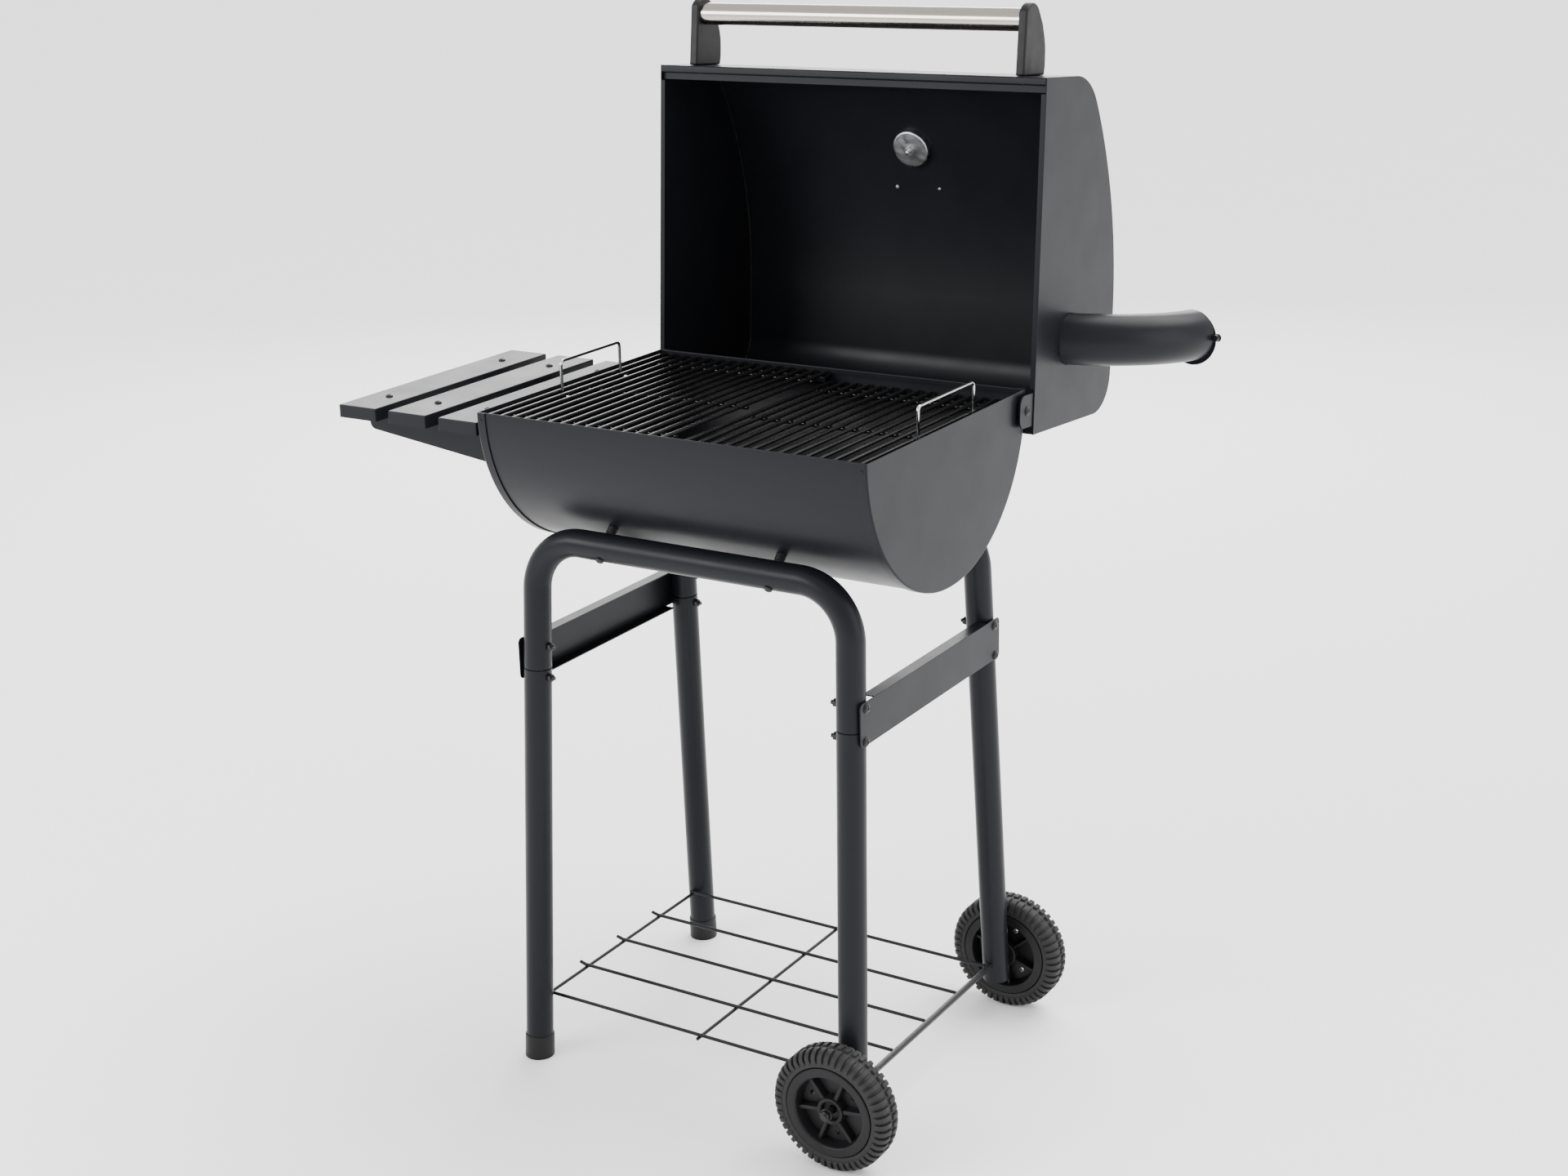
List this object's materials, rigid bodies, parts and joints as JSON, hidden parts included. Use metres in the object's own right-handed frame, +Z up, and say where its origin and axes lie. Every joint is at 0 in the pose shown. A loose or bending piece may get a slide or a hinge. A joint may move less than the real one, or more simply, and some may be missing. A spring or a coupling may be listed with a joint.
{
  "type": "charcoal grill",
  "caption": "Half-barrel charcoal grill on a tube stand with a hinged lid standing open, side shelf, chimney, cooking grates, wire shelf and wheels.",
  "frame": {"origin": "on the ground, under the middle of the overall box with the lid up", "axes": "+X from the side shelf towards the chimney and wheels, +Y to the back where the lid stands, +Z up"},
  "size_m": [0.9088, 0.678, 1.2742],
  "materials": {
    "powder_coat": "satin black powder coat on steel sheet and tube",
    "grate_enamel": "glossy black enamel on steel wire",
    "chrome": "bright chrome plate",
    "gauge_metal": "dull zinc plated pressing",
    "fastener": "black zinc bolts and rod, slightly glossy",
    "plastic": "fine textured black moulded plastic",
    "tyre": "dull black blown plastic tyre",
    "needle": "red paint"
  },
  "bodies": {
    "stand": {"axle": "fastener", "bowl_bolt_front_left": "fastener", "bowl_bolt_front_right": "fastener", "bowl_bolt_rear_left": "fastener", "bowl_bolt_rear_right": "fastener", "bowl_end_left": "powder_coat", "bowl_end_right": "powder_coat", "bowl_shell": "powder_coat", "foot_cap_front": "plastic", "foot_cap_rear": "plastic", "frame_bolt_front_left_lower": "fastener", "frame_bolt_front_left_upper": "fastener", "frame_bolt_front_right_lower": "fastener", "frame_bolt_front_right_upper": "fastener", "frame_bolt_rear_left_lower": "fastener", "frame_bolt_rear_left_upper": "fastener", "frame_bolt_rear_right_lower": "fastener", "frame_bolt_rear_right_upper": "fastener", "grate_rail_left_front": "powder_coat", "grate_rail_left_rear": "powder_coat", "grate_rail_right_front": "powder_coat", "grate_rail_right_rear": "powder_coat", "hinge_bolt_left": "fastener", "hinge_bolt_right": "fastener", "leg_front_left": "powder_coat", "leg_front_right": "powder_coat", "leg_rear_left": "powder_coat", "leg_rear_right": "powder_coat", "shelf_bracket_front": "powder_coat", "shelf_bracket_rear": "powder_coat", "shelf_slat_1": "powder_coat", "shelf_slat_2": "powder_coat", "shelf_slat_3": "powder_coat", "side_plate_left": "powder_coat", "side_plate_right": "powder_coat", "u_frame_front": "powder_coat", "u_frame_rear": "powder_coat", "wire_shelf": "powder_coat"},
    "lid": {"chimney_pipe": "powder_coat", "damper_screw": "fastener", "handle_bracket_left": "plastic", "handle_bracket_right": "plastic", "handle_tube": "chrome", "hinge_ear_left": "powder_coat", "hinge_ear_right": "powder_coat", "lid_end_left": "powder_coat", "lid_end_right": "powder_coat", "lid_shell": "powder_coat", "thermometer_case": "gauge_metal"},
    "grate_left": {"cooking_grate_left": "grate_enamel", "grate_handle_left": "chrome"},
    "grate_right": {"cooking_grate_right": "grate_enamel", "grate_handle_right": "chrome"},
    "coal_grate": {"charcoal_grate": "grate_enamel"},
    "needle": {"thermometer_needle": "needle"},
    "damper": {"damper_plate": "powder_coat"},
    "wheel_front": {"wheel_hub_front": "plastic", "tyre_front": "tyre"},
    "wheel_rear": {"wheel_hub_rear": "plastic", "tyre_rear": "tyre"}
  },
  "joints": [
    {"name": "lid_hinge", "type": "hinge", "parent": "stand", "child": "lid", "pos_m": [0.03463, 0.09505, 0.80705], "axis": [1, 0, 0], "range_deg": [0, 93.4]},
    {"name": "grate_left_lift", "type": "slide", "parent": "stand", "child": "grate_left", "axis": [0, 0, 1], "range_m": [0, 0.12]},
    {"name": "grate_right_lift", "type": "slide", "parent": "stand", "child": "grate_right", "axis": [0, 0, 1], "range_m": [0, 0.12]},
    {"name": "coal_grate_lift", "type": "slide", "parent": "stand", "child": "coal_grate", "axis": [0, 0, 1], "range_m": [0, 0.08]},
    {"name": "needle_turn", "type": "hinge", "parent": "lid", "child": "needle", "pos_m": [0.03463, 0.31162, 1.07978], "axis": [0, 0.9436, 0.3311], "range_deg": [0, 250]},
    {"name": "damper_swing", "type": "hinge", "parent": "lid", "child": "damper", "pos_m": [0.44849, 0.3199, 0.86458], "axis": [0.1736, 0.9821, -0.0728], "range_deg": [-110, 6]},
    {"name": "wheel_front_spin", "type": "hinge", "parent": "stand", "child": "wheel_front", "pos_m": [0.26185, -0.31048, 0.075], "axis": [0, 1, 0], "continuous": true},
    {"name": "wheel_rear_spin", "type": "hinge", "parent": "stand", "child": "wheel_rear", "pos_m": [0.26185, 0.13652, 0.075], "axis": [0, 1, 0], "continuous": true}
  ]
}
